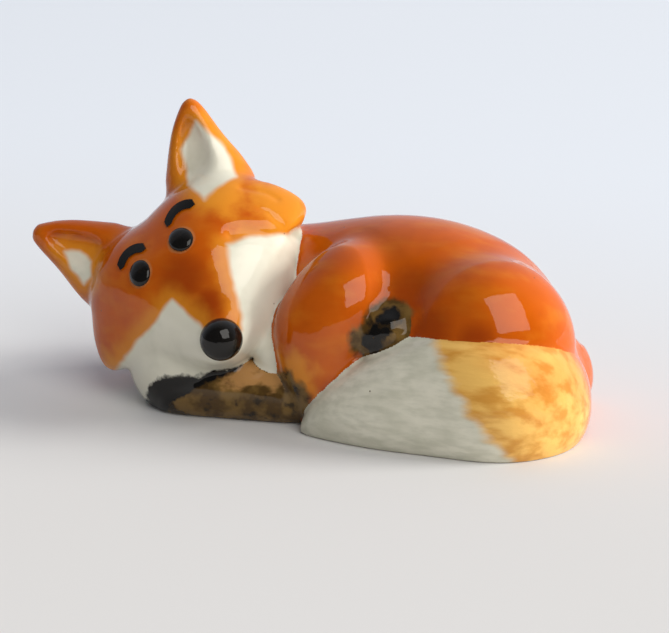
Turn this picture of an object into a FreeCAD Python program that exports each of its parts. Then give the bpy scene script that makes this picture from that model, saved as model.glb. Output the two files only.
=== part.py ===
# A glazed porcelain fox that lies curled on its belly, its head tilted on its forepaws.
# It is hand built: a torso, haunches, legs, ruff, tail, head and ears are shaped one by
# one and luted together with slip. Each piece is trimmed to the pieces that carry it,
# so that the two meet face to face. Nose, eyes and brows are raised drops of enamel.
#
# Axes: +X runs from the head to the rump, -Y is the fox's left side, which the tail
# covers, and +Z is up. The origin is the middle of the flat underside, below the torso.
# Lengths are in millimetres and angles in degrees.
import FreeCAD, Part
import os
from math import cos, hypot, pi, radians, sin

DRIVING_SIZES = {
    "torso_length": 36.5,
    "torso_width": 17.5,
    "torso_height": 17.1,
    "haunch_length": 16.0,
    "haunch_height": 16.0,
    "haunch_thickness": 13.0,
    "foreleg_height": 15.8,
    "foreleg_width": 9.4,
    "foreleg_thickness": 7.4,
    "forepaw_length": 15.0,
    "forepaw_height": 5.3,
    "forepaw_thickness": 5.2,
    "hind_paw_length": 5.6,
    "hind_paw_height": 4.0,
    "hind_paw_thickness": 3.6,
    "ruff_length": 12.0,
    "ruff_depth": 9.6,
    "ruff_height": 11.6,
    "tail_height": 10.0,
    "tail_thickness": 7.0,
    "head_width": 23.4,
    "head_height": 15.6,
    "head_depth": 15.8,
    "head_rest_height": 12.2,
    "head_overhang": 0.6,
    "head_turn": 8.0,
    "head_lift": 11.0,
    "head_tilt": 41.0,
    "ear_height": 9.3,
    "ear_width": 8.0,
    "ear_thickness": 4.6,
    "ear_hollow_depth": 1.0,
    "nose_width": 3.8,
    "nose_height": 3.7,
    "nose_depth": 3.6,
    "eye_width": 2.2,
    "eye_height": 2.6,
    "eye_thickness": 0.9,
    "brow_span": 3.1,
    "brow_rise": 0.75,
    "brow_width": 0.75,
    "brow_thickness": 0.3,
    "trim_overrun": 12.0,
}

doc = FreeCAD.newDocument("fox_figurine")
sheet = doc.addObject("Spreadsheet::Sheet", "sizes")
for row, (alias, value) in enumerate(DRIVING_SIZES.items(), start=1):
    sheet.set(f"A{row}", alias)
    sheet.set(f"B{row}", str(value))
    sheet.setAlias(f"B{row}", alias)
doc.recompute()


def size(alias):
    """The value of one driving size."""
    return float(sheet.get(alias))


VECTOR = FreeCAD.Vector
X_AXIS = VECTOR(1, 0, 0)
Y_AXIS = VECTOR(0, 1, 0)
Z_AXIS = VECTOR(0, 0, 1)
LEFT, RIGHT = -1, 1
NO_TURN = "rotation(vector(0; 0; 1); 0)"

# A closed curve through an oval is drawn through this many points, in four stretches
OVAL_POINTS = 12
STRETCHES = 4
# An egg runs from pole to pole in this many steps
EGG_STEPS = 9


def closed_curve(centre, across, upward, outline):
    """A smooth closed curve through the points of an outline, laid out on two directions."""
    curve = Part.BSplineCurve()
    points = [centre + across * a + upward * b for a, b in outline]
    even_steps = [n / len(points) for n in range(len(points) + 1)]
    curve.interpolate(Points=points, PeriodicFlag=True, Parameters=even_steps)
    ends = [n / STRETCHES for n in range(STRETCHES + 1)]
    return Part.Wire([curve.toShape(start, end) for start, end in zip(ends, ends[1:])])


def oval(half_width, half_height):
    """The outline of an oval about its centre."""
    turns = [2 * pi * n / OVAL_POINTS for n in range(OVAL_POINTS)]
    return [(half_width * cos(turn), half_height * sin(turn)) for turn in turns]


def free_form(name, curves):
    """A solid that runs smoothly through closed curves."""
    form = doc.addObject("Part::Feature", name)
    form.Shape = Part.makeLoft(curves, True, False)
    return form


def ovoid(name, along, aside, upright):
    """An egg of clay about its centre, whose diameters are three sizes of the sheet."""
    half_length, half_width, half_height = (size(name) / 2 for name in (along, aside, upright))
    turns = [pi * n / EGG_STEPS for n in range(1, EGG_STEPS)]
    curves = [Part.Vertex(VECTOR(-half_length, 0, 0))]
    for turn in turns:
        outline = oval(half_width * sin(turn), half_height * sin(turn))
        middle = VECTOR(-half_length * cos(turn), 0, 0)
        curves.append(closed_curve(middle, Y_AXIS, Z_AXIS, outline))
    curves.append(Part.Vertex(VECTOR(half_length, 0, 0)))
    return free_form(name, curves)


def luted(label, form, carriers):
    """What is left of a form once the pieces that carry it are trimmed out of it."""
    piece = form
    for number, carrier in enumerate(carriers, start=1):
        trimmed = doc.addObject("Part::Cut", f"{label}_trim_{number}")
        trimmed.Base = piece
        trimmed.Tool = carrier
        piece = trimmed
    piece.Label = label
    return piece


# The slab that the figurine is pressed flat on while the clay is soft
ground = doc.addObject("Part::Box", "ground")
for side in ("Length", "Width"):
    ground.setExpression(side, "3 * sizes.torso_length + 2 * sizes.trim_overrun")
ground.setExpression("Height", "sizes.trim_overrun")
GROUND_CORNER = "-1.5 * sizes.torso_length - sizes.trim_overrun"
ground.setExpression(
    "Placement",
    f"placement(vector({GROUND_CORNER}; {GROUND_CORNER}; -sizes.trim_overrun); {NO_TURN})",
)

# Torso: a bean of clay along +X, from the chest behind the head to the rump. Each row is
# a cross section: how far along, how far aside, its width and the height of its top, as
# shares of the torso's sizes.
TORSO_FRONT_SHARE = -0.30
TORSO_MIDDLE_SHARE = 0.42
TORSO_SHARES = [
    (0.000, 0.29, 0.14, 0.56),
    (0.040, 0.28, 0.40, 0.70),
    (0.122, 0.26, 0.60, 0.81),
    (0.273, 0.20, 0.76, 0.89),
    (0.437, 0.11, 0.90, 0.98),
    (0.600, 0.07, 0.94, 1.00),
    (0.727, 0.05, 0.93, 0.94),
    (0.810, 0.03, 0.90, 0.85),
    (0.885, 0.00, 0.78, 0.69),
    (0.925, -0.02, 0.58, 0.54),
    (0.948, -0.03, 0.30, 0.38),
]


def torso_point(along_share, aside_share, up_share):
    """A point by its shares of the torso's length, width and height."""
    return VECTOR(
        (TORSO_FRONT_SHARE + along_share) * size("torso_length"),
        aside_share * size("torso_width"),
        up_share * size("torso_height"),
    )


def torso_place(along_share, aside_share, up_share, turn=NO_TURN):
    """A placement at such a point, as an expression."""
    return (
        f"placement(vector({TORSO_FRONT_SHARE + along_share} * sizes.torso_length;"
        f"{aside_share} * sizes.torso_width; {up_share} * sizes.torso_height); {turn})"
    )


torso_curves = []
for along, aside, width, top in TORSO_SHARES:
    middle = torso_point(along, aside, top * TORSO_MIDDLE_SHARE)
    half_height = top * (1 - TORSO_MIDDLE_SHARE) * size("torso_height")
    outline = oval(width * size("torso_width") / 2, half_height)
    torso_curves.append(closed_curve(middle, Y_AXIS, Z_AXIS, outline))
torso = luted("torso", free_form("torso_form", torso_curves), [ground])

# Haunches: the thighs of the folded hind legs, pads of clay on both flanks at the rump
HAUNCH_PLACE_SHARES = {"left": (0.748, -0.17, 0.44), "right": (0.700, 0.22, 0.32)}
HAUNCH_SLOPE = "rotation(vector(0; 1; 0); 24)"


def haunch(side):
    form = ovoid(f"{side}_haunch_form", "haunch_length", "haunch_thickness", "haunch_height")
    form.setExpression("Placement", torso_place(*HAUNCH_PLACE_SHARES[side], HAUNCH_SLOPE))
    return luted(f"{side}_haunch", form, [ground, torso])


left_haunch = haunch("left")
right_haunch = haunch("right")

# Forelegs: shoulder and upper arm, an upright teardrop on each flank. Each row is a cross
# section: its height, how far along and aside it lies, its width and its thickness.
FORELEG_SHARES = [
    (-0.06, 0.378, 0.26, 0.50, 0.66),
    (0.10, 0.376, 0.29, 0.66, 0.82),
    (0.35, 0.372, 0.32, 0.86, 0.97),
    (0.60, 0.382, 0.31, 1.00, 1.00),
    (0.82, 0.410, 0.25, 0.86, 0.92),
    (0.95, 0.423, 0.18, 0.54, 0.62),
    (1.00, 0.425, 0.15, 0.20, 0.24),
]
FORELEG_MIDDLE_SHARES = {"left": 0.0, "right": 0.11}


def foreleg(side, sign):
    curves = []
    for up, along, aside, width, thickness in FORELEG_SHARES:
        middle = torso_point(along, sign * aside + FORELEG_MIDDLE_SHARES[side], 0)
        middle.z = up * size("foreleg_height")
        half_thickness = thickness * size("foreleg_thickness") / 2
        outline = oval(width * size("foreleg_width") / 2, half_thickness)
        curves.append(closed_curve(middle, X_AXIS, Y_AXIS, outline))
    return luted(f"{side}_foreleg", free_form(f"{side}_foreleg_form", curves), [ground, torso])


left_foreleg = foreleg("left", LEFT)
right_foreleg = foreleg("right", RIGHT)

# Forepaws: two fat rolls that lie forward from the chest, flat on the ground, with
# rounded toes. Each row is a cross section: how far from wrist to toes, width, height.
FOREPAW_WRIST_SHARES = {"left": (0.365, -0.325), "right": (0.25, 0.24)}
FOREPAW_MIDDLE_SHARE = 0.46
FOREPAW_SHARES = [
    (0.000, 0.35, 0.45),
    (0.060, 0.60, 0.70),
    (0.250, 0.84, 0.90),
    (0.550, 0.95, 0.98),
    (0.800, 1.00, 1.00),
    (0.930, 0.82, 0.86),
    (0.985, 0.46, 0.54),
    (1.000, 0.18, 0.26),
]


def forepaw(side, carriers):
    curves = []
    for reach, thickness, height in FOREPAW_SHARES:
        middle = torso_point(*FOREPAW_WRIST_SHARES[side], 0)
        middle.x -= reach * size("forepaw_length")
        middle.z = height * FOREPAW_MIDDLE_SHARE * size("forepaw_height")
        half_height = height * (1 - FOREPAW_MIDDLE_SHARE) * size("forepaw_height")
        outline = oval(thickness * size("forepaw_thickness") / 2, half_height)
        curves.append(closed_curve(middle, Y_AXIS, Z_AXIS, outline))
    return luted(f"{side}_forepaw", free_form(f"{side}_forepaw_form", curves), carriers)


left_forepaw = forepaw("left", [ground, torso, left_foreleg])
right_forepaw = forepaw("right", [ground, torso, right_foreleg])

# Chest ruff: the white fur below the head, one lump that fills up round the paws
RUFF_PLACE_SHARES = (0.028, -0.20, 0.24)
ruff_form = ovoid("chest_ruff_form", "ruff_length", "ruff_depth", "ruff_height")
ruff_form.setExpression("Placement", torso_place(*RUFF_PLACE_SHARES))
chest_ruff = luted(
    "chest_ruff",
    ruff_form,
    [ground, torso, left_foreleg, right_foreleg, left_forepaw, right_forepaw],
)

# Left hind paw: the dark toes that peep out between foreleg and haunch, above the tail
HIND_PAW_PLACE_SHARES = (0.535, -0.385, 0.535)
HIND_PAW_SLOPE = "rotation(vector(0; 1; 0); -35)"
hind_paw_form = ovoid(
    "left_hind_paw_form", "hind_paw_length", "hind_paw_thickness", "hind_paw_height"
)
hind_paw_form.setExpression("Placement", torso_place(*HIND_PAW_PLACE_SHARES, HIND_PAW_SLOPE))
left_hind_paw = luted("left_hind_paw", hind_paw_form, [torso, left_haunch, left_foreleg])

# Tail: a broad flat brush that leaves the rump on the far side, turns round the left
# haunch and ends in a low tip by the foreleg. Each row is a cross section: how far along
# and aside of the torso it lies, the way it faces in degrees, its thickness and height.
TAIL_MIDDLE_SHARE = 0.44
TAIL_LEAN = 10.0
TAIL_SHARES = [
    (0.793, 0.270, 60, 0.62, 0.62),
    (0.886, 0.120, 22, 0.88, 0.79),
    (0.908, -0.114, 2, 0.98, 0.90),
    (0.905, -0.365, -30, 1.00, 0.97),
    (0.835, -0.500, -62, 1.00, 1.00),
    (0.684, -0.514, -86, 0.92, 1.00),
    (0.536, -0.509, -92, 0.78, 0.80),
    (0.420, -0.491, -95, 0.55, 0.52),
    (0.360, -0.486, -97, 0.30, 0.26),
    (0.338, -0.480, -97, 0.12, 0.10),
]
tail_curves = []
for along, aside, facing, thickness, height in TAIL_SHARES:
    outward = FreeCAD.Rotation(Z_AXIS, facing).multVec(X_AXIS)
    upward = Z_AXIS * cos(radians(TAIL_LEAN)) - outward * sin(radians(TAIL_LEAN))
    middle = torso_point(along, aside, 0)
    middle.z = height * TAIL_MIDDLE_SHARE * size("tail_height")
    half_height = height * (1 - TAIL_MIDDLE_SHARE) * size("tail_height")
    outline = oval(thickness * size("tail_thickness") / 2, half_height)
    tail_curves.append(closed_curve(middle, outward, upward, outline))
tail = luted(
    "tail",
    free_form("tail_form", tail_curves),
    [ground, torso, left_haunch, right_haunch, left_hind_paw, left_foreleg, left_forepaw],
)

# Head: its own directions are +X to the fox's left cheek, -Y to the nose and +Z to the
# crown. It leans on the chest, turned a little to the rump, lifted and tilted.
HEAD_ASIDE_SHARE = -0.048
head_frame = doc.addObject("Part::Feature", "head_frame")
head_frame.setExpression(
    "Placement",
    f"placement(vector({TORSO_FRONT_SHARE} * sizes.torso_length - sizes.head_overhang;"
    f"{HEAD_ASIDE_SHARE} * sizes.torso_width; sizes.head_rest_height);"
    "rotation(vector(0; 0; 1); sizes.head_turn)"
    " * rotation(vector(1; 0; 0); -sizes.head_lift)"
    " * rotation(vector(0; 1; 0); -sizes.head_tilt))",
)
doc.recompute()

# The face seen from in front, from crown to chin down the left cheek, with the tuft of
# fur that sticks out at its widest: shares of half the width and half the height.
CHEEK_SHARES = [
    (0.00, 0.97),
    (0.25, 1.00),
    (0.50, 0.95),
    (0.72, 0.74),
    (0.83, 0.51),
    (0.93, 0.28),
    (1.00, -0.01),
    (0.95, -0.17),
    (0.85, -0.26),
    (0.77, -0.44),
    (0.67, -0.69),
    (0.53, -0.87),
    (0.35, -0.98),
    (0.17, -1.00),
    (0.00, -1.00),
]
# Each row is a cross section of the head from its back to the tip of the muzzle: how far
# forward, its width, its top and its bottom, and how much of the tufted outline it has.
HEAD_SHARES = [
    (-0.39, 0.13, 0.04, -0.22, 0.00),
    (-0.37, 0.28, 0.13, -0.33, 0.00),
    (-0.30, 0.53, 0.25, -0.49, 0.10),
    (-0.20, 0.74, 0.32, -0.58, 0.35),
    (-0.09, 0.93, 0.35, -0.63, 0.80),
    (-0.02, 1.00, 0.35, -0.64, 1.00),
    (0.05, 0.97, 0.34, -0.64, 1.00),
    (0.16, 0.84, 0.295, -0.65, 0.85),
    (0.27, 0.67, 0.20, -0.65, 0.60),
    (0.37, 0.49, 0.08, -0.64, 0.35),
    (0.455, 0.34, -0.10, -0.62, 0.10),
    (0.53, 0.235, -0.27, -0.60, 0.00),
    (0.585, 0.14, -0.36, -0.57, 0.00),
    (0.61, 0.07, -0.41, -0.52, 0.00),
]


def face_outline(half_width, half_height, tuft_share):
    """The outline of the face, between an oval and its full tufted form."""
    left_half = []
    for a, b in CHEEK_SHARES:
        reach = hypot(a, b)
        rounded_a = a * tuft_share + a / reach * (1 - tuft_share)
        rounded_b = b * tuft_share + b / reach * (1 - tuft_share)
        left_half.append((half_width * rounded_a, half_height * rounded_b))
    right_half = [(-a, b) for a, b in reversed(left_half[1:-1])]
    return left_half + right_half


def head_form(name, growth):
    """The bare head, with each cross section grown outwards by the same amount."""
    curves = []
    for forward, width, top, bottom, tuft_share in HEAD_SHARES:
        half_height = (top - bottom) / 2 * size("head_height")
        middle = VECTOR(
            0, -forward * size("head_depth"), (top + bottom) / 2 * size("head_height")
        )
        half_width = width * size("head_width") / 2
        outline = face_outline(half_width + growth, half_height + growth, tuft_share)
        curves.append(closed_curve(middle, X_AXIS, Z_AXIS, outline))
    form = free_form(name, curves)
    form.setExpression("Placement", "head_frame.Placement")
    return form


bare_head = head_form("bare_head", 0)
head = luted(
    "head",
    bare_head,
    [ground, torso, left_foreleg, right_foreleg, left_forepaw, right_forepaw, chest_ruff],
)

# Ears: flattened cones with a dished front. Each row is a cross section: its height above
# the root, how far it leans out, its width and its thickness. The dish has the same rows.
EAR_ROOT_SHARES = (0.49, -0.11, 0.12)
EAR_SHARES = [
    (0.000, 0.00, 1.00, 1.00),
    (0.250, 0.01, 1.00, 1.00),
    (0.410, 0.03, 0.95, 0.90),
    (0.590, 0.12, 0.77, 0.75),
    (0.730, 0.21, 0.61, 0.62),
    (0.870, 0.31, 0.42, 0.46),
    (0.955, 0.38, 0.24, 0.32),
    (1.000, 0.41, 0.09, 0.16),
]
EAR_DISH_SHARES = [
    (0.330, 0.06, 0.20, 0.30),
    (0.410, 0.07, 0.44, 0.80),
    (0.520, 0.10, 0.47, 1.00),
    (0.650, 0.17, 0.38, 0.95),
    (0.780, 0.25, 0.24, 0.70),
    (0.860, 0.30, 0.09, 0.30),
]
EAR_FRONT_SHARES = ((0.0, 1.0), (0.41, 0.90), (1.0, 0.16))


def ear_point(sign, up_share, lean_share, forward):
    """A point in an ear's middle plane, or in front of it, in the head's directions."""
    root_aside, root_forward, root_up = EAR_ROOT_SHARES
    return VECTOR(
        sign * (root_aside * size("head_width") / 2 + lean_share * size("ear_width")),
        -root_forward * size("head_depth") - forward,
        root_up * size("head_height") + up_share * size("ear_height"),
    )


def front_of_ear(up_share):
    """How far the front of an ear lies before its middle plane at a height."""
    (low, thick), (high, thin) = EAR_FRONT_SHARES[1:]
    share = thick + (up_share - low) / (high - low) * (thin - thick)
    return share * size("ear_thickness") / 2


def ear(side, sign):
    curves = []
    for up, lean, width, thickness in EAR_SHARES:
        outline = oval(width * size("ear_width") / 2, thickness * size("ear_thickness") / 2)
        curves.append(closed_curve(ear_point(sign, up, lean, 0), X_AXIS, Y_AXIS, outline))
    form = free_form(f"{side}_ear_form", curves)
    dish_curves = []
    for up, lean, width, depth in EAR_DISH_SHARES:
        outline = oval(width * size("ear_width") / 2, depth * size("ear_hollow_depth"))
        middle = ear_point(sign, up, lean, front_of_ear(up))
        dish_curves.append(closed_curve(middle, X_AXIS, Y_AXIS, outline))
    dish = free_form(f"{side}_ear_dish", dish_curves)
    for shape in (form, dish):
        shape.setExpression("Placement", "head_frame.Placement")
    return luted(f"{side}_ear", form, [dish, bare_head, torso])


# In the head's directions the fox's left is +X
left_ear = ear("left", 1)
right_ear = ear("right", -1)

# Nose: a bead of black enamel on the tip of the muzzle
NOSE_PLACE_SHARES = (0.59, -0.475)
nose_form = ovoid("nose_form", "nose_width", "nose_depth", "nose_height")
nose_form.setExpression(
    "Placement",
    f"head_frame.Placement * placement(vector(0; {-NOSE_PLACE_SHARES[0]} * sizes.head_depth;"
    f"{NOSE_PLACE_SHARES[1]} * sizes.head_height); {NO_TURN})",
)
nose = luted("nose", nose_form, [bare_head, left_forepaw, chest_ruff])
doc.recompute()


def on_face(aside, up):
    """The point of the face straight in front of a place in the head's middle plane."""
    place = head_frame.Placement
    behind = place.multVec(VECTOR(aside, 0, up))
    before = place.multVec(VECTOR(aside, -size("head_depth"), up))
    inside = bare_head.Shape.common(Part.makeLine(behind, before))
    point = min((corner.Point for corner in inside.Vertexes), key=before.distanceToPoint)
    return place.inverse().multVec(point)


# Eyes: flat drops of black enamel that lie on the face
EYE_PLACE_SHARES = {"left": (0.178, 0.104), "right": (-0.230, 0.105)}


def eye(side):
    aside = EYE_PLACE_SHARES[side][0] * size("head_width") / 2
    up = EYE_PLACE_SHARES[side][1] * size("head_height")
    place = on_face(aside, up)
    towards_left = on_face(aside + size("eye_width") / 2, up) - place
    towards_crown = on_face(aside, up + size("eye_height") / 2) - place
    outward = towards_left.cross(towards_crown)
    form = ovoid(f"{side}_eye_form", "eye_width", "eye_thickness", "eye_height")
    turn = FreeCAD.Rotation(towards_left, outward.negative(), VECTOR(), "YXZ")
    form.Placement = head_frame.Placement.multiply(FreeCAD.Placement(place, turn))
    return luted(f"{side}_eye", form, [bare_head])


left_eye = eye("left")
right_eye = eye("right")

# Brows: arched brush strokes of thick black enamel above the eyes. A stroke has the
# outline of the arch and the thickness of the enamel over the face.
BROW_PLACE_SHARES = {"left": (0.27, 0.258), "right": (-0.223, 0.241)}
grown_head = head_form("grown_head", size("brow_thickness"))


def brow(side):
    aside = BROW_PLACE_SHARES[side][0] * size("head_width") / 2
    up = BROW_PLACE_SHARES[side][1] * size("head_height")
    half_span, rise = size("brow_span") / 2, size("brow_rise")
    radius = (half_span**2 + rise**2) / (2 * rise)
    ring = Part.makeCylinder(radius + size("brow_width") / 2, size("head_depth"))
    hole = Part.makeCylinder(radius - size("brow_width") / 2, size("head_depth"))
    window = Part.makeBox(
        2 * half_span, rise + size("brow_width"), size("head_depth"),
        VECTOR(-half_span, radius - rise, 0),
    )
    stroke = doc.addObject("Part::Feature", f"{side}_brow_stroke")
    stroke.Shape = ring.cut(hole).common(window)
    turn = FreeCAD.Rotation(X_AXIS, 90)
    place = FreeCAD.Placement(VECTOR(aside, 0, up - radius), turn)
    stroke.Placement = head_frame.Placement.multiply(place)
    painted = doc.addObject("Part::Common", f"{side}_brow_form")
    painted.Base = stroke
    painted.Tool = grown_head
    return luted(f"{side}_brow", painted, [bare_head])


left_brow = brow("left")
right_brow = brow("right")

doc.recompute()

PIECES = [
    torso, left_haunch, right_haunch, left_foreleg, right_foreleg, left_forepaw,
    right_forepaw, chest_ruff, left_hind_paw, tail, head, left_ear, right_ear, nose,
    left_eye, right_eye, left_brow, right_brow,
]
for feature in doc.Objects:
    if "Invalid" in feature.State or "Error" in feature.State:
        raise RuntimeError(f"{feature.Name} could not be built: {feature.State}")
for piece in PIECES:
    shape = piece.Shape
    if shape.isNull() or not shape.isValid():
        raise RuntimeError(f"{piece.Label} has no valid shape")
    print(piece.Label, "solids", len(shape.Solids), "volume", round(shape.Volume, 2))

os.makedirs("parts", exist_ok=True)
for piece in PIECES:
    piece.Shape.exportStep(f"parts/{piece.Label}.step")
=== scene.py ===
from math import cos, radians, sin

import bmesh
import bpy
import numpy as np
from mathutils import Matrix, Vector
from mathutils.bvhtree import BVHTree
from mathutils.kdtree import KDTree


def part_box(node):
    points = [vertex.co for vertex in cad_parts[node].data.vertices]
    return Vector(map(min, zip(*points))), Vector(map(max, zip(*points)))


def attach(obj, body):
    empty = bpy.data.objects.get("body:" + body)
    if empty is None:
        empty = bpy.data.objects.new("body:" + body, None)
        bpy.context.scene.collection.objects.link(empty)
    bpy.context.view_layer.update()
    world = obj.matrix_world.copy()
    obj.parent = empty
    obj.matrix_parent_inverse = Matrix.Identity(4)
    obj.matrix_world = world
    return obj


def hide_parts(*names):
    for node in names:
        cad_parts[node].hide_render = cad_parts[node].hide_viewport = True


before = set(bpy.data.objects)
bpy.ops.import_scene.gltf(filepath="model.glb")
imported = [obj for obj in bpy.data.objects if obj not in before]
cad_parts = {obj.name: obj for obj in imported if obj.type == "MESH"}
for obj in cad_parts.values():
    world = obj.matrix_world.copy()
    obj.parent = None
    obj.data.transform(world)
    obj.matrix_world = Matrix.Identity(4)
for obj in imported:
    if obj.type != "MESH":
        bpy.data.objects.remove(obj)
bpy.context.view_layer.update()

# The clay body: thirteen lumps of white porcelain clay, pressed together with slip on a
# flat slab and fired. The slip fills the joints, so that every joint is a soft hollow and
# nothing has a sharp edge.
MM = 0.001
ENAMEL = ("nose", "left_eye", "right_eye", "left_brow", "right_brow")
LUMPS = sorted(set(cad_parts) - set(ENAMEL))
WELD = 0.001 * MM
BITE = 0.04 * MM
SKIN_GRAIN = 0.17 * MM
# A dab of slip fills the pocket between the left cheek, the ruff and the left foreleg
DAB_PLACE = Vector((-1.9, -5.2, 6.1)) * MM
DAB_RADII = (1.9 * MM, 1.9 * MM, 2.5 * MM)
DAB_LUMP = "chest_ruff"


def pressed_together():
    """All lumps in one mesh, each a hair too large so that it bites into its neighbours,
    with the lump that each face comes from."""
    clay = bmesh.new()
    sources = []
    for number, name in enumerate(LUMPS):
        lump = bmesh.new()
        lump.from_mesh(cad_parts[name].data)
        bmesh.ops.remove_doubles(lump, verts=lump.verts, dist=WELD)
        lump.normal_update()
        for vert in lump.verts:
            vert.co += vert.normal * BITE
        mesh = bpy.data.meshes.new(name)
        lump.to_mesh(mesh)
        lump.free()
        clay.from_mesh(mesh)
        bpy.data.meshes.remove(mesh)
        sources += [number] * (len(clay.faces) - len(sources))
    shape = Matrix.LocRotScale(DAB_PLACE, None, DAB_RADII)
    bmesh.ops.create_icosphere(clay, subdivisions=4, radius=1, matrix=shape)
    sources += [LUMPS.index(DAB_LUMP)] * (len(clay.faces) - len(sources))
    return clay, sources


def remeshed(clay):
    """The clay's surface as even small facets."""
    mesh = bpy.data.meshes.new("clay")
    clay.to_mesh(mesh)
    body = bpy.data.objects.new("clay", mesh)
    bpy.context.scene.collection.objects.link(body)
    remesh = body.modifiers.new("skin", "REMESH")
    remesh.mode = "VOXEL"
    remesh.voxel_size = SKIN_GRAIN
    depsgraph = bpy.context.evaluated_depsgraph_get()
    skin = bmesh.new()
    skin.from_mesh(body.evaluated_get(depsgraph).to_mesh())
    bpy.data.objects.remove(body)
    bpy.data.meshes.remove(mesh)
    return skin


def keep_outer_shell(skin):
    """Deletes every loose shell but the one that the topmost vertex is on."""
    top = max(skin.verts, key=lambda vert: vert.co.z)
    shell, rim = {top}, {top}
    while rim:
        rim = {edge.other_vert(vert) for vert in rim for edge in vert.link_edges} - shell
        shell |= rim
    loose = [vert for vert in skin.verts if vert not in shell]
    bmesh.ops.delete(skin, geom=loose, context="VERTS")


def smoothed(mesh, verts, times):
    for _ in range(times):
        bmesh.ops.smooth_vert(
            mesh, verts=verts, factor=0.5, use_axis_x=True, use_axis_y=True, use_axis_z=True
        )


def grown(verts, rings):
    """The vertices within a number of edges from some vertices."""
    near, rim = set(verts), set(verts)
    for _ in range(rings):
        rim = {edge.other_vert(vert) for vert in rim for edge in vert.link_edges} - near
        near |= rim
    return list(near)


clay, clay_lumps = pressed_together()
clay_tree = BVHTree.FromBMesh(clay)
skin = remeshed(clay)
clay.free()
keep_outer_shell(skin)
lump_layer = skin.verts.layers.int.new("lump")
for vert in skin.verts:
    vert[lump_layer] = clay_lumps[clay_tree.find_nearest(vert.co)[2]]
SETTLING = 4
smoothed(skin, skin.verts, SETTLING)

# How far the slip runs out on both sides of a joint, in steps of the skin's grain
SLIP_RINGS = {
    ("head", "left_ear"): 9,
    ("head", "right_ear"): 9,
    ("left_haunch", "torso"): 17,
    ("right_haunch", "torso"): 17,
    ("left_foreleg", "torso"): 14,
    ("right_foreleg", "torso"): 14,
    ("chest_ruff", "left_foreleg"): 6,
    ("right_haunch", "tail"): 12,
    ("tail", "torso"): 12,
    ("left_foreleg", "left_forepaw"): 8,
    ("left_hind_paw", "torso"): 13,
    ("left_haunch", "left_hind_paw"): 13,
    ("left_foreleg", "left_hind_paw"): 10,
    ("chest_ruff", "head"): 5,
}
PLAIN_SLIP_RINGS = 2
joints = {}
for edge in skin.edges:
    pair = tuple(sorted(LUMPS[vert[lump_layer]] for vert in edge.verts))
    if pair[0] != pair[1]:
        joints.setdefault(pair, set()).update(edge.verts)
for pair, verts in sorted(joints.items()):
    rings = SLIP_RINGS.get(pair, PLAIN_SLIP_RINGS)
    smoothed(skin, grown(verts, rings), rings * rings // 2)

# Where two lumps ran into each other edge on, the slip rounds what would be a sharp crease
SHARPEST = radians(24)
CREASE_PASSES, CREASE_RINGS, CREASE_TIMES = 2, 4, 16
FOOT_RIM = 1.0 * MM
SPONGING = 2
for _ in range(CREASE_PASSES):
    skin.normal_update()
    sharp = [edge for edge in skin.edges if edge.calc_face_angle(0) > SHARPEST]
    creased = {vert for edge in sharp for vert in edge.verts if vert.co.z > FOOT_RIM}
    smoothed(skin, grown(creased, CREASE_RINGS), CREASE_TIMES)
smoothed(skin, skin.verts, SPONGING)

# The lines along which the skin is divided between the lumps
OWNER_TIMES = 4
JOINT_TIMES = 8


def face_owners():
    """The lump of each face, with the ragged edges between the lumps evened out."""
    owners = [sorted(vert[lump_layer] for vert in face.verts)[1] for face in skin.faces]
    for _ in range(OWNER_TIMES):
        evened = []
        for face in skin.faces:
            round_it = [owners[near.index] for edge in face.edges for near in edge.link_faces]
            evened.append(max(set(round_it), key=round_it.count))
        owners = evened
    return owners


def even_joint_lines():
    """Slides the vertices on the joints between lumps along them to smooth lines."""
    along = {}
    for edge in skin.edges:
        one, other = edge.link_faces
        if face_lumps[one.index] != face_lumps[other.index]:
            for vert in edge.verts:
                along.setdefault(vert, []).append(edge.other_vert(vert))
    runs = {vert: ends for vert, ends in along.items() if len(ends) == 2}
    for _ in range(JOINT_TIMES):
        moved = {
            vert: (vert.co * 2 + before.co + after.co) / 4
            for vert, (before, after) in runs.items()
        }
        for vert, place in moved.items():
            vert.co = place


skin.faces.index_update()
face_lumps = face_owners()
even_joint_lines()
smoothed(skin, skin.verts, 1)
skin.normal_update()

# Folds pressed into the wet clay of the left cheek with a needle: each has a depth, a half
# width and a line on the head. The head's own directions are x to the left cheek, y back
# from the nose and z to the crown.
HEAD_PLACE = (-11.55, -0.84, 12.2)
HEAD_TURN = (
    Matrix.Rotation(radians(8), 3, "Z")
    @ Matrix.Rotation(radians(-11), 3, "X")
    @ Matrix.Rotation(radians(-41), 3, "Y")
)
FOLDS = [
    (0.34, 0.65, [
        (5.8, -4.9, -0.9), (6.65, -4.7, -1.3), (7.4, -4.4, -2.1), (8.1, -4.0, -2.9),
        (8.8, -3.5, -3.6), (9.3, -2.3, -4.2), (9.6, -0.7, -4.4), (9.4, 1.2, -4.4),
    ]),
    (0.09, 0.35, [(8.6, -1.7, 1.8), (9.3, -1.5, 0.9), (9.9, -1.4, 0.1), (10.3, -1.5, -0.9)]),
    (0.07, 0.30, [(8.9, -3.0, -0.6), (9.2, -2.8, -1.3), (9.3, -2.9, -2.3), (9.5, -2.8, -3.0)]),
]


def skin_places():
    """Where the skin's vertices are, in millimetres."""
    return np.array([vert.co for vert in skin.verts]) / MM


def on_head(points):
    """The same points in the head's own directions."""
    return (points - HEAD_PLACE) @ np.array(HEAD_TURN)


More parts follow.
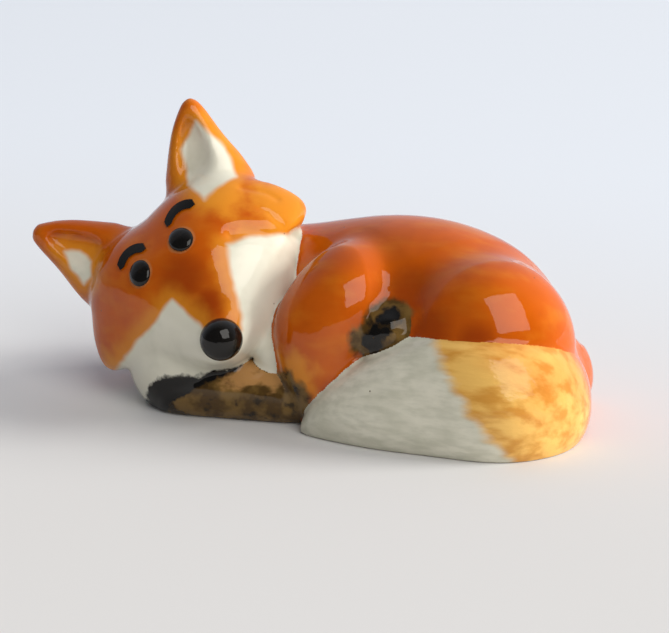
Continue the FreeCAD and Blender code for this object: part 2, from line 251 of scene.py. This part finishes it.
def beside(points, line):
    """How far points are from a line of straight runs."""
    line = np.array(line)
    nearest = np.full(len(points), np.inf)
    for start, run in zip(line, np.diff(line, axis=0)):
        share = np.clip((points - start) @ run / (run @ run), 0, 1)
        away = np.linalg.norm(points - start - share[:, None] * run, axis=1)
        nearest = np.minimum(nearest, away)
    return nearest


face = on_head(skin_places())
pressed = sum(
    depth * np.exp(-((beside(face, line) / width) ** 2)) for depth, width, line in FOLDS
)
for vert, depth in zip(skin.verts, pressed):
    vert.co -= vert.normal * float(depth) * MM
    vert.co.z = max(vert.co.z, 0)
skin.normal_update()

# The glaze: clear and glossy over stains brushed on the clay, a little wavy, with a few
# pinholes, and darker where it pools. What the brush did, with some painted shade and painted
# light, is left on the skin as marks, such as how far each point lies outside a painted patch,
# in millimetres.
BROWN = (0.085, 0.045, 0.010, 1)
BLACK = (0.006, 0.005, 0.004, 1)
BISQUE = (0.62, 0.55, 0.45, 1)
GLASS_IOR, BODY_IOR = 1.42, 1.5
GLASS_ROUGHNESS = 0.03
WAVINESS = 0.02 * MM
PINHOLE_SPREAD = 0.33
PINHOLE_RIM, PINHOLE_CORE = 0.032, 0.018
FOOT_GLAZED, FOOT_WIPED = 0.10, 0.04
HOLLOW_TIMES = 14
EVEN = (1, 1, 1)
# A piece's hidden joint faces lie this far inside the body
JOINT_DEPTH = 0.7 * MM

places = skin_places()
face = on_head(places)
lumps = np.array([vert[lump_layer] for vert in skin.verts])
normal_layer = skin.verts.layers.float_vector.new("skin_normal")
for vert in skin.verts:
    vert[normal_layer] = vert.normal


def left_on_skin(name, values):
    """A mark: one value for each vertex, for the glazes to read."""
    layer = skin.verts.layers.float.new(name)
    for vert, value in zip(skin.verts, values):
        vert[layer] = value


def hollowness():
    """How far each vertex lies below its surroundings: less than 0 on ridges."""
    even = skin.copy()
    smoothed(even, even.verts, HOLLOW_TIMES)
    rise = [(b.co - a.co).dot(a.normal) / MM for a, b in zip(skin.verts, even.verts)]
    even.free()
    return rise


class Glaze:
    """A glazed finish that is built up in layers of paint."""

    def __init__(self, name):
        self.material = bpy.data.materials.new(name)
        self.material.use_nodes = True
        self.nodes = self.material.node_tree.nodes
        self.links = self.material.node_tree.links
        self.shader = self.nodes["Principled BSDF"]
        self.shader.inputs["IOR"].default_value = BODY_IOR
        self.shader.inputs["Specular IOR Level"].default_value = 0.0
        self.shader.inputs["Coat Weight"].default_value = 1.0
        self.shader.inputs["Coat Roughness"].default_value = GLASS_ROUGHNESS
        self.shader.inputs["Coat IOR"].default_value = GLASS_IOR
        coordinates = self.nodes.new("ShaderNodeTexCoord")
        self.place = self.nodes.new("ShaderNodeMapping")
        self.place.inputs["Scale"].default_value = (1 / MM,) * 3
        self.links.new(coordinates.outputs["Object"], self.place.inputs["Vector"])

    def axis(self, name):
        """The place along one axis, in millimetres."""
        node = self.nodes.new("ShaderNodeSeparateXYZ")
        self.links.new(self.place.outputs["Vector"], node.inputs["Vector"])
        return node.outputs[name]

    def mark(self, name):
        """The value that the painter left on the skin."""
        node = self.nodes.new("ShaderNodeAttribute")
        node.attribute_name = name
        return node.outputs["Fac"]

    def cloud(self, scale, detail, stretch=EVEN):
        """Soft noise, with its scale in blots for a millimetre."""
        mapping = self.nodes.new("ShaderNodeMapping")
        mapping.inputs["Scale"].default_value = stretch
        self.links.new(self.place.outputs["Vector"], mapping.inputs["Vector"])
        node = self.nodes.new("ShaderNodeTexNoise")
        node.inputs["Scale"].default_value = scale
        node.inputs["Detail"].default_value = detail
        self.links.new(mapping.outputs["Vector"], node.inputs["Vector"])
        return node.outputs["Fac"]

    def pinholes(self):
        """Sparse dots, 1 in a pinhole and 0 elsewhere."""
        node = self.nodes.new("ShaderNodeTexVoronoi")
        node.inputs["Scale"].default_value = PINHOLE_SPREAD
        self.links.new(self.place.outputs["Vector"], node.inputs["Vector"])
        return self.step(node.outputs["Distance"], PINHOLE_RIM, PINHOLE_CORE)

    def sum(self, operation, first, second):
        node = self.nodes.new("ShaderNodeMath")
        node.operation = operation
        for socket, value in zip(node.inputs, (first, second)):
            if isinstance(value, (int, float)):
                socket.default_value = value
            else:
                self.links.new(value, socket)
        return node.outputs[0]

    def part(self, value, share):
        return self.sum("MULTIPLY", value, share)

    def step(self, value, none, full):
        """0 where a value is at none and 1 where it is at full, with a soft step between."""
        node = self.nodes.new("ShaderNodeMapRange")
        node.interpolation_type = "SMOOTHSTEP"
        self.links.new(value, node.inputs["Value"])
        node.inputs["From Min"].default_value = none
        node.inputs["From Max"].default_value = full
        return node.outputs["Result"]

    def ragged(self, value, scale, reach, stretch=EVEN, detail=3):
        """A border moved in and out by the bristles of the brush."""
        waver = self.sum("SUBTRACT", self.cloud(scale, detail, stretch), 0.5)
        return self.sum("ADD", value, self.part(waver, 2 * reach))

    def over(self, below, colour, amount):
        """A colour laid over another by an amount."""
        node = self.nodes.new("ShaderNodeMix")
        node.data_type = "RGBA"
        for key, value in (("A", below), ("B", colour)):
            socket = [s for s in node.inputs if s.name == key and s.type == "RGBA"][0]
            if isinstance(value, tuple):
                socket.default_value = value
            else:
                self.links.new(value, socket)
        self.links.new(amount, node.inputs["Factor"])
        return [s for s in node.outputs if s.type == "RGBA"][0]

    def laid(self, below, colour, value, none, full, most=1.0):
        """A colour laid over another where a value steps from none to full."""
        return self.over(below, colour, self.part(self.step(value, none, full), most))

    def fired(self, colour, roughness=(0.25, 0.45), strokes=0.0):
        """The finished glaze: a slightly wavy surface with brush strokes and pinholes, and
        below it the foot that the figurine was fired on, cleaned free of glaze."""
        grubby = self.laid(BISQUE, BROWN, self.cloud(0.4, 4), none=0.5, full=0.8, most=0.25)
        colour = self.laid(colour, grubby, self.axis("Z"), FOOT_GLAZED, FOOT_WIPED)
        holes = self.pinholes()
        colour = self.over(colour, BROWN, self.part(holes, 0.75))
        self.links.new(colour, self.shader.inputs["Base Color"])
        rough = self.nodes.new("ShaderNodeMapRange")
        self.links.new(self.cloud(0.7, 3), rough.inputs["Value"])
        rough.inputs["To Min"].default_value = roughness[0]
        rough.inputs["To Max"].default_value = roughness[1]
        self.links.new(rough.outputs["Result"], self.shader.inputs["Roughness"])
        bump = self.nodes.new("ShaderNodeBump")
        bump.inputs["Distance"].default_value = WAVINESS
        height = self.sum("SUBTRACT", self.cloud(0.8, 2), self.part(holes, 1.5))
        height = self.sum("ADD", height, strokes)
        self.links.new(height, bump.inputs["Height"])
        for socket in ("Normal", "Coat Normal"):
            self.links.new(bump.outputs["Normal"], self.shader.inputs[socket])
        return self.material


def glazed(node, material, slot, **marks):
    """The part of the skin that covers one lump, closed off inside the body. Marks given
    here are the same all over the piece."""
    number = LUMPS.index(node)
    piece = skin.copy()
    others = [part for part, owner in zip(piece.faces, face_lumps) if owner != number]
    bmesh.ops.delete(piece, geom=others, context="FACES")
    for name, value in marks.items():
        layer = piece.verts.layers.float[name]
        for vert in piece.verts:
            vert[layer] = value
    inward = piece.verts.layers.float_vector["skin_normal"]
    rim = [edge for edge in piece.edges if edge.is_boundary]
    wall = bmesh.ops.extrude_edge_only(piece, edges=rim)["geom"]
    rim = [item for item in wall if isinstance(item, bmesh.types.BMEdge) and item.is_boundary]
    for vert in {vert for edge in rim for vert in edge.verts}:
        vert.co -= vert[inward] * JOINT_DEPTH
    bmesh.ops.holes_fill(piece, edges=rim, sides=0)
    mesh = bpy.data.meshes.new(f"glazed_{node}")
    piece.to_mesh(mesh)
    piece.free()
    mesh.shade_smooth()
    normals = np.zeros(len(mesh.vertices) * 3, np.float32)
    mesh.attributes["skin_normal"].data.foreach_get("vector", normals)
    mesh.normals_split_custom_set_from_vertices(normals.reshape(-1, 3))
    mesh.materials.append(material)
    body = bpy.data.objects.new(mesh.name, mesh)
    bpy.context.scene.collection.objects.link(body)
    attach(body, "root")
    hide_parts(node)


left_on_skin("hollow", hollowness())

# Torso, haunches, forelegs and paws: the big soft lumps of the body and the small rolls of
# clay at its feet. They are brushed with orange stain, and the paws are dabbed with brown
# and black stain, which runs up the end of the left foreleg and round the hind paw.
ORANGE = (0.58, 0.105, 0.002, 1)
DEEP_ORANGE = (0.32, 0.040, 0.001, 1)
AMBER = (0.74, 0.27, 0.018, 1)
TAN = (0.56, 0.29, 0.10, 1)
OLIVE = (0.20, 0.115, 0.030, 1)
# A mark's value well away from its patch
FAR = 9.0
# The stain is thin and amber on the knobs of the cheeks and the end of the foreleg. Painted
# shade darkens the orange down the bridge of the muzzle, in the valley between foreleg and
# haunch and along the haunch above the tail. Each spot has a place and a reach.
THIN_FACE_SPOTS = [
    ((10.4, -1.2, -1.4), 5.4), ((7.0, -3.2, 1.9), 3.4), ((-10.0, -1.0, -3.6), 3.4),
    ((7.6, -0.5, 6.2), 5.0), ((-7.6, -0.5, 6.2), 3.6),
]
THIN_BODY_SPOTS = [((0.9, -9.0, 5.2), 3.6)]
SHADED_FACE_SPOTS = [((0.0, -6.5, -1.5), 3.4), ((0.6, -8.0, -4.5), 2.6)]
SHADED_BODY_SPOTS = [((10.6, -6.4, 13.0), 3.8), ((12.6, -8.4, 10.2), 3.2), ((17.0, -9.0, 9.6), 2.4)]


def away_from(place, points):
    """How far points are from a place."""
    return np.linalg.norm(points - np.array(place), axis=1)


def spotted(face_spots, body_spots):
    """1 in the middle of a spot and 0 from its reach outwards."""
    spots = np.zeros(len(places))
    for group, points in ((face_spots, face), (body_spots, places)):
        for place, reach in group:
            spots = np.maximum(spots, 1 - away_from(place, points) / reach)
    return spots


left_on_skin("thin", spotted(THIN_FACE_SPOTS, THIN_BODY_SPOTS))
# Painted shade: strongest in the middle of each spot
left_on_skin("painted_shade", spotted(SHADED_FACE_SPOTS, SHADED_BODY_SPOTS))


def orange(glaze):
    """Orange stain: softly blotched, darker in the hollows and amber on thin ridges, with
    painted shade on the bridge of the muzzle and in the valleys of the body.
    """
    colour = glaze.laid(ORANGE, DEEP_ORANGE, glaze.cloud(0.22, 2), 0.35, 0.70, most=0.30)
    streaks = glaze.cloud(0.5, 3, stretch=(0.35, 1, 1))
    colour = glaze.laid(colour, AMBER, streaks, none=0.45, full=0.75, most=0.25)
    hollow = glaze.mark("hollow")
    colour = glaze.laid(colour, DEEP_ORANGE, hollow, none=0.008, full=0.09, most=0.9)
    ridge = glaze.ragged(glaze.part(hollow, -1.0), scale=0.8, reach=0.02)
    colour = glaze.laid(colour, AMBER, ridge, none=0.035, full=0.12, most=0.85)
    # Painted shade: darker orange down the muzzle's bridge and in the body's valleys
    painted_shade = glaze.ragged(glaze.mark("painted_shade"), scale=0.35, reach=0.25)
    colour = glaze.laid(colour, DEEP_ORANGE, painted_shade, none=0.0, full=0.7, most=0.75)
    thin = glaze.ragged(glaze.mark("thin"), scale=0.55, reach=0.45)
    return glaze.laid(colour, AMBER, thin, none=0.15, full=0.75, most=0.85)


# The brown and black dabs at the end of the left foreleg and round the hind paw
SOCK_END = (-0.4, -8.2, 2.6)
SOCK_REACH = 2.7
HIND_STROKE = [(9.1, -7.4, 10.9), (8.6, -7.7, 9.9), (7.6, -8.3, 8.7)]
HIND_PAW_REACH = 1.75
HIND_STROKE_REACH = 0.85
hind_stroke = beside(places, HIND_STROKE)
fore_sock = away_from(SOCK_END, places) - SOCK_REACH
left_on_skin("sock", np.minimum(fore_sock, hind_stroke - HIND_PAW_REACH))

# A black stroke down the hind paw, and another round the toes of the left forepaw, along
# its joint with the ruff and the chin: broad at the tips of the toes on the fox's right,
# and thin to its left
STROKE_ENDS = (-12.5, -10.2, -8.2, -5.0, -3.0)
STROKE_REACHES = (1.25, 1.1, 0.5, 0.2, -0.6)
STROKE_BACK = -5.5
stroke = np.full(len(places), FAR)
forepaw = np.isin(lumps, [LUMPS.index("left_forepaw")])
above_it = np.isin(lumps, [LUMPS.index("chest_ruff"), LUMPS.index("head")])
for near, far in ((forepaw, above_it), (above_it, forepaw)):
    tree = KDTree(int(far.sum()))
    for index, place in enumerate(places[far]):
        tree.insert(place, index)
    tree.balance()
    stroke[near] = [tree.find(place)[2] for place in places[near]]
stroke -= np.interp(places[:, 0], STROKE_ENDS, STROKE_REACHES)
stroke = np.maximum(stroke, places[:, 1] - STROKE_BACK)
left_on_skin("stroke", np.minimum(stroke, hind_stroke - HIND_STROKE_REACH))

# The top of the left forepaw, made paler with painted light falling on it from above
LIT_TOP_ABOVE, LIT_TOP_FROM = 3.0, -7.4
lit_top = np.minimum(places[:, 2] - LIT_TOP_ABOVE, (places[:, 0] - LIT_TOP_FROM) / 2)
lit_top = np.where(forepaw & (places[:, 1] < STROKE_BACK), lit_top, -FAR)
left_on_skin("lit_top", lit_top)


def stroked(glaze, colour):
    """A black brush stroke with a rough edge."""
    stroke = glaze.ragged(glaze.mark("stroke"), scale=1.1, reach=0.6)
    return glaze.laid(colour, BLACK, stroke, none=0.25, full=-0.15)


def socks(glaze, colour):
    """Black and brown stain dabbed on the paws, mottled where the brush was dry, and made
    paler on top of the left forepaw with painted light.
    """
    dabs = glaze.laid(OLIVE, BROWN, glaze.cloud(0.55, 4), none=0.38, full=0.60)
    dabs = glaze.laid(dabs, BLACK, glaze.cloud(0.8, 4), none=0.52, full=0.68, most=0.8)
    lit_top = glaze.ragged(glaze.mark("lit_top"), scale=0.9, reach=2.4, stretch=(0.6, 1, 1))
    # Painted light: tan laid over the top of the left forepaw, where light falls from above
    dabs = glaze.laid(dabs, TAN, lit_top, none=0.25, full=1.3, most=0.8)
    edge = glaze.ragged(glaze.mark("sock"), scale=0.9, reach=0.8)
    return glaze.laid(colour, dabs, edge, none=0.55, full=-0.35)


glaze = Glaze("orange_glaze")
orange_glaze = glaze.fired(stroked(glaze, socks(glaze, orange(glaze))))
for node in ("torso", "left_haunch", "right_haunch", "left_foreleg", "right_foreleg"):
    glazed(node, orange_glaze, "glazed_porcelain")
for node in ("left_forepaw", "right_forepaw", "left_hind_paw"):
    glazed(node, orange_glaze, "dark_sock_glaze", sock=-1.5)

# Head and ears: a ball of clay drawn out to a muzzle and two cheeks, with a pinched flap
# luted on for each ear. They are orange round a white mask and white insides of the ears,
# and the brush leaves a pale ring round each eye.
CREAM = (0.78, 0.755, 0.63, 1)
GREY_CREAM = (0.46, 0.46, 0.35, 1)
HALO = (0.62, 0.30, 0.12, 1)
# The mask runs from cheek to cheek below the orange bridge of the muzzle. It and the
# insides of the ears are outlines of (x, z) on the head.
MASK = [
    (5.0, -1.2), (6.4, -1.8), (7.5, -2.6), (8.9, -3.7), (10.2, -4.2), (12.5, -5.0),
    (12.5, -13.0), (-13.0, -13.0), (-13.0, -3.9), (-11.0, -3.5), (-8.7, -3.2), (-6.5, -2.8),
    (-5.0, -2.6), (-3.5, -2.4), (-1.6, -2.1), (-1.2, -3.1), (-0.9, -4.4), (-0.7, -6.0),
    (0.3, -8.0), (1.2, -8.2), (1.9, -7.9), (2.5, -7.2), (3.0, -6.1), (3.4, -4.8), (4.2, -2.9),
]
EAR_WHITES = [
    [(8.7, 9.0), (6.1, 8.0), (4.9, 5.2), (5.6, 3.2), (8.6, 3.0), (9.3, 5.6)],
    [(-8.1, 7.7), (-7.1, 6.8), (-6.7, 5.4), (-7.3, 4.4), (-8.4, 4.3), (-8.5, 6.0)],
]
FACE_FRONT = 1.5
CHIN = -8.5
EYES = [sum(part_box(node), Vector()) / 2 / MM for node in ("left_eye", "right_eye")]
RING_REACH = 1.15


def outside(outline, a, b):
    """How far points lie outside a closed outline: less than 0 inside it."""
    corners = np.array(outline, float)
    nearest = np.full(len(a), np.inf)
    within = np.zeros(len(a), bool)
    for (start_a, start_b), (end_a, end_b) in zip(corners, np.roll(corners, -1, axis=0)):
        run, rise = end_a - start_a, end_b - start_b
        share = ((a - start_a) * run + (b - start_b) * rise) / (run * run + rise * rise)
        share = np.clip(share, 0, 1)
        away = np.hypot(a - start_a - share * run, b - start_b - share * rise)
        nearest = np.minimum(nearest, away)
        level = (start_b > b) != (end_b > b)
        within ^= level & (a < start_a + (b - start_b) * run / (rise or 1))
    return np.where(within, -nearest, nearest)


bare = outside(MASK, face[:, 0], face[:, 2])
for outline in EAR_WHITES:
    bare = np.minimum(bare, outside(outline, face[:, 0], face[:, 2]))
bare = np.minimum(np.maximum(bare, face[:, 1] - FACE_FRONT), face[:, 2] - CHIN)
left_on_skin("bare", bare)
left_on_skin("ring", np.minimum(*(away_from(eye, places) for eye in EYES)) - RING_REACH)


def ringed(glaze, colour):
    """The pale ring that the brush leaves round an eye."""
    ring = glaze.ragged(glaze.mark("ring"), scale=1.5, reach=0.12)
    return glaze.laid(colour, HALO, ring, none=0.30, full=0.02, most=0.5)


def white(glaze):
    """Bare porcelain under clear glaze, greenish grey where the glaze is thick."""
    tinted = glaze.laid(CREAM, GREY_CREAM, glaze.cloud(0.25, 3), 0.42, 0.72, most=0.35)
    return glaze.laid(tinted, GREY_CREAM, glaze.mark("hollow"), 0.01, 0.10, most=0.7)


def masked(glaze, colour):
    """White inside the mask, with an amber brushed edge."""
    edge = glaze.ragged(glaze.mark("bare"), scale=0.5, reach=0.35, detail=1)
    fringe = glaze.ragged(edge, scale=0.45, reach=0.9)
    colour = glaze.laid(colour, AMBER, fringe, none=2.1, full=0.1, most=0.8)
    return glaze.laid(colour, white(glaze), edge, none=0.32, full=-0.26)


glaze = Glaze("face_glaze")
face_glaze = glaze.fired(stroked(glaze, masked(glaze, ringed(glaze, orange(glaze)))))
for node in ("head", "left_ear", "right_ear"):
    glazed(node, face_glaze, "glazed_porcelain")

# Chest ruff: the fur below the head, a lump of clay pressed in between head, foreleg and
# torso. It is left white all over, apart from the black stroke along the forepaw.
glazed("chest_ruff", face_glaze, "white_glaze", bare=-2.0)

# Tail: a thick roll of clay wrapped round the left flank and luted to haunch and torso. It
# is brushed lengthwise: white at the tip, mottled yellow above it and orange at the root.
ALONG_TAIL = (0.3, 1, 1.0)
OCHRE = (0.56, 0.20, 0.010, 1)
YELLOW = (0.91, 0.54, 0.14, 1)
# How far along the tail from the slanted end of the white tip
TIP_END = 13.6
TIP_TOP = 9.0
TIP_SLANT = 0.78
TIP_BACK = -3.0
tip = places[:, 0] - TIP_END - (TIP_TOP - places[:, 2]) * TIP_SLANT
left_on_skin("tip", np.where(places[:, 1] > TIP_BACK, FAR, tip))
# The tail's root lies behind the left haunch
ROOT_FROM, ROOT_TO = -6.5, -1.5
left_on_skin("root", np.clip((places[:, 1] - ROOT_FROM) / (ROOT_TO - ROOT_FROM), 0, 1))

glaze = Glaze("brush_glaze")
blots = glaze.cloud(0.75, 4, ALONG_TAIL)
amber = glaze.laid(YELLOW, OCHRE, blots, none=0.42, full=0.66, most=0.65)
from_tip = glaze.ragged(glaze.part(glaze.mark("tip"), 0.10), 0.4, 0.5, ALONG_TAIL)
amber = glaze.laid(amber, ORANGE, from_tip, none=0.25, full=1.1, most=0.45)
root = glaze.ragged(glaze.mark("root"), scale=0.4, reach=0.25)
amber = glaze.laid(amber, ORANGE, root, none=0.1, full=0.8)
strokes = glaze.cloud(1.6, 4, ALONG_TAIL)
tip_white = glaze.laid(white(glaze), GREY_CREAM, strokes, none=0.3, full=0.75, most=0.5)
tip_edge = glaze.ragged(glaze.mark("tip"), 0.8, 1.4, ALONG_TAIL)
colour = glaze.laid(tip_white, amber, tip_edge, none=-0.7, full=1.0)
glazed("tail", glaze.fired(colour, strokes=glaze.part(strokes, 3.0)), "brush_glaze")

# Nose, eyes and brows: a bead, two flat drops and two brush strokes of thick black enamel,
# fired on last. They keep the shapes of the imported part.
glaze = Glaze("black_enamel")
worn = glaze.laid(BLACK, BROWN, glaze.cloud(0.9, 3), none=0.5, full=0.8, most=0.12)
black_enamel = glaze.fired(worn, roughness=(0.1, 0.2))
for node in ENAMEL:
    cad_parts[node].data.materials.clear()
    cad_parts[node].data.materials.append(black_enamel)

# The stage: the figurine lies on a sheet of pale paper, painted brighter and bluer towards
# the distance as painted light. It is seen on its left flank, a little from the rump and from
# above.
TARGET = Vector((1.94, 0.52, 7.8)) * MM
AZIMUTH, ELEVATION = radians(15), radians(18)
DISTANCE = 275 * MM
LENS, SENSOR = 165.7, 36
PAPER_SIZE = 6.0
PAPER_ROUGHNESS = 0.9
NEAR_PAPER = (0.72, 0.71, 0.70, 1)
FAR_PAPER = (0.79, 0.83, 0.89, 1)
NEAR_EDGE, FAR_EDGE = -40.0, 90.0


def direction(azimuth, elevation):
    """The way from the figurine to a place: azimuth 0 is in front of it, on the -Y side,
    and 90 degrees is on the +X side."""
    flat = cos(elevation)
    return Vector((sin(azimuth) * flat, -cos(azimuth) * flat, sin(elevation)))


camera = bpy.data.objects.new("camera", bpy.data.cameras.new("camera"))
bpy.context.scene.collection.objects.link(camera)
camera.location = TARGET + direction(AZIMUTH, ELEVATION) * DISTANCE
camera.rotation_euler = direction(AZIMUTH, ELEVATION).to_track_quat("Z", "Y").to_euler()
camera.data.lens = LENS
camera.data.sensor_width = SENSOR
camera.data.sensor_fit = "HORIZONTAL"
camera.data.clip_start = DISTANCE / 20
bpy.context.scene.camera = camera

sheet = bmesh.new()
bmesh.ops.create_grid(sheet, x_segments=1, y_segments=1, size=PAPER_SIZE / 2)
mesh = bpy.data.meshes.new("paper")
sheet.to_mesh(mesh)
sheet.free()
paper = bpy.data.objects.new("paper", mesh)
bpy.context.scene.collection.objects.link(paper)
glaze = Glaze("paper")
glaze.shader.inputs["Coat Weight"].default_value = 0.0
glaze.shader.inputs["Roughness"].default_value = PAPER_ROUGHNESS
# Painted light: the paper turns brighter and bluer from near to far
shade = glaze.laid(NEAR_PAPER, FAR_PAPER, glaze.axis("Y"), NEAR_EDGE, FAR_EDGE)
glaze.links.new(shade, glaze.shader.inputs["Base Color"])
mesh.materials.append(glaze.material)

# The light: two windows on the right. The room is bright behind the figurine and dim
# behind the camera.
WINDOW_DISTANCE = 2.2
DAYLIGHT = (1.0, 0.97, 0.92)
ROOM = (0.84, 0.89, 1.0, 1)
DIM, BRIGHT = 0.09, 0.74
DIM_FROM, BRIGHT_FROM = -0.3, 0.7


def lamp(name, azimuth, elevation, size, watts):
    """A window of a width and height in metres, turned to the figurine."""
    light = bpy.data.lights.new(name, "AREA")
    light.shape = "RECTANGLE"
    light.size, light.size_y = size
    light.energy = watts
    light.color = DAYLIGHT
    pane = bpy.data.objects.new(name, light)
    bpy.context.scene.collection.objects.link(pane)
    towards = direction(radians(azimuth), radians(elevation))
    pane.location = TARGET + towards * WINDOW_DISTANCE
    pane.rotation_euler = towards.to_track_quat("Z", "Y").to_euler()
    return pane


lamp("window", azimuth=41, elevation=44, size=(1.6, 1.9), watts=28.0)
side_window = lamp("side_window", azimuth=102, elevation=20, size=(0.9, 0.9), watts=60.0)
side_window.visible_glossy = False

room = bpy.data.worlds.new("room")
bpy.context.scene.world = room
room.use_nodes = True
nodes, links = room.node_tree.nodes, room.node_tree.links
sky = nodes["Background"]
sky.inputs["Color"].default_value = ROOM
ahead = nodes.new("ShaderNodeSeparateXYZ")
links.new(nodes.new("ShaderNodeTexCoord").outputs["Generated"], ahead.inputs["Vector"])
strength = nodes.new("ShaderNodeMapRange")
links.new(ahead.outputs["Y"], strength.inputs["Value"])
strength.inputs["From Min"].default_value = DIM_FROM
strength.inputs["From Max"].default_value = BRIGHT_FROM
strength.inputs["To Min"].default_value = DIM
strength.inputs["To Max"].default_value = BRIGHT
links.new(strength.outputs["Result"], sky.inputs["Strength"])
bpy.context.scene.view_settings.view_transform = "Standard"
